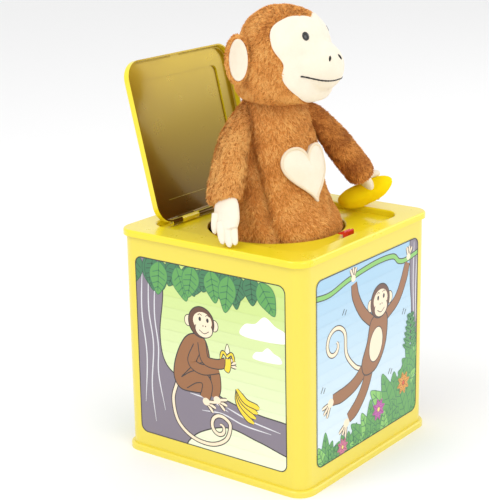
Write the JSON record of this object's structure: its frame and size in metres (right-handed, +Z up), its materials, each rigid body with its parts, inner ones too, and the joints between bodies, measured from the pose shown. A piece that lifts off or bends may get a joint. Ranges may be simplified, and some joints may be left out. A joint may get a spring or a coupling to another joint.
{
  "type": "jack in the box",
  "caption": "Tin pop-up toy box with hinged lid, side crank, pin-drum music movement and latch; a plush monkey on a coil spring rises through the round hole in its deck.",
  "frame": {"origin": "centre of the box's underside, on the surface it stands on", "axes": "+Z up, the puppet faces -Y (front, latch side), +X towards the crank, lid hinge at +Y"},
  "size_m": [0.1759, 0.1499, 0.2803],
  "materials": {
    "tin_yellow": "gloss",
    "tin_printed": "gloss",
    "steel": "satin",
    "chrome_wire": "polished",
    "brass": "satin",
    "red_plastic": "gloss",
    "black_bead": "gloss",
    "white_plastic": "matte",
    "brown_plush": "fur",
    "cream_plush": "felt",
    "yellow_plush": "felt"
  },
  "bodies": {
    "box": {"body_shell": "tin_printed", "base_plate": "tin_yellow", "top_deck": "tin_yellow", "hinge_wire": "steel", "latch_bracket_1": "steel", "latch_bracket_2": "steel", "latch_spring": "steel", "movement_frame": "steel", "frame_rivets": "steel", "crank_bush": "white_plastic", "comb": "steel", "comb_bed": "brass", "comb_screws": "steel", "spring_seat": "steel", "sleeve_clamp": "steel", "puppet_spring": "steel", "torso_sleeve": "brown_plush", "heart_patch": "cream_plush"},
    "lid": {"lid": "tin_yellow"},
    "latch": {"latch_rod": "steel", "latch_hook": "red_plastic", "trip_finger": "steel"},
    "crank": {"crank_rod": "chrome_wire", "pinion": "brass", "shaft_ring": "steel", "knob_ring": "steel"},
    "knob": {"crank_knob": "red_plastic"},
    "drum": {"drum_axle": "steel", "drum_gear": "brass", "pin_drum": "brass", "trip_cam": "red_plastic"},
    "puppet": {"spring_plate": "white_plastic"},
    "head": {"plush_head": "brown_plush", "plush_muzzle": "cream_plush", "ear_right": "cream_plush", "ear_left": "cream_plush", "eye_right": "black_bead", "eye_left": "black_bead"},
    "arm_right": {"arm_right": "brown_plush", "hand_right": "cream_plush"},
    "arm_left": {"arm_left": "brown_plush", "hand_left": "cream_plush", "banana": "yellow_plush"}
  },
  "joints": [
    {"name": "lid_hinge", "type": "hinge", "parent": "box", "child": "lid", "pos_m": [0, 0.052, 0.1444], "axis": [1, 0, 0], "range_deg": [0, 104]},
    {"name": "puppet_pop", "type": "slide", "parent": "box", "child": "puppet", "axis": [0, 0, 1], "range_m": [-0.1455, 0], "stiffness_N_per_m": 30, "springref_m": 0.1, "deforming": ["puppet_spring", "torso_sleeve", "heart_patch"]},
    {"name": "head_nod", "type": "hinge", "parent": "puppet", "child": "head", "pos_m": [0, 0, 0.222], "axis": [1, 0, 0], "range_deg": [0, 12.5], "deforming": ["plush_head", "plush_muzzle", "ear_right", "ear_left"]},
    {"name": "arm_right_swing", "type": "hinge", "parent": "puppet", "child": "arm_right", "pos_m": [-0.022, 0.008, 0.213], "axis": [-0.8279, 0.2694, 0.4919], "range_deg": [0, 36.4], "deforming": ["arm_right", "hand_right"]},
    {"name": "arm_left_swing", "type": "hinge", "parent": "puppet", "child": "arm_left", "pos_m": [0.02, -0.0145, 0.212], "axis": [-0.6594, -0.7438, -0.1098], "range_deg": [0, 10.1], "deforming": ["arm_left", "hand_left", "banana"]},
    {"name": "latch_release", "type": "hinge", "parent": "box", "child": "latch", "pos_m": [0, -0.055, 0.128], "axis": [1, 0, 0], "range_deg": [0, 7], "stiffness_Nm_per_rad": 0.05, "springref_deg": -8.59},
    {"name": "drum_spin", "type": "hinge", "parent": "box", "child": "drum", "pos_m": [0, -0.01706, 0.10106], "axis": [1, 0, 0], "continuous": true},
    {"name": "crank_spin", "type": "hinge", "parent": "box", "child": "crank", "pos_m": [0.075, 0, 0.084], "axis": [1, 0, 0], "continuous": true},
    {"name": "knob_spin", "type": "hinge", "parent": "crank", "child": "knob", "pos_m": [0.0935, 0, 0.048], "axis": [1, 0, 0], "continuous": true}
  ],
  "couplings": [
    {"joint": "puppet_pop", "follows": "lid_hinge", "m_per_rad": -0.079883},
    {"joint": "head_nod", "follows": "lid_hinge", "ratio": 0.11539},
    {"joint": "arm_right_swing", "follows": "lid_hinge", "ratio": 0.34519},
    {"joint": "arm_left_swing", "follows": "lid_hinge", "ratio": 0.092308},
    {"joint": "crank_spin", "follows": "drum_spin", "ratio": -5}
  ]
}
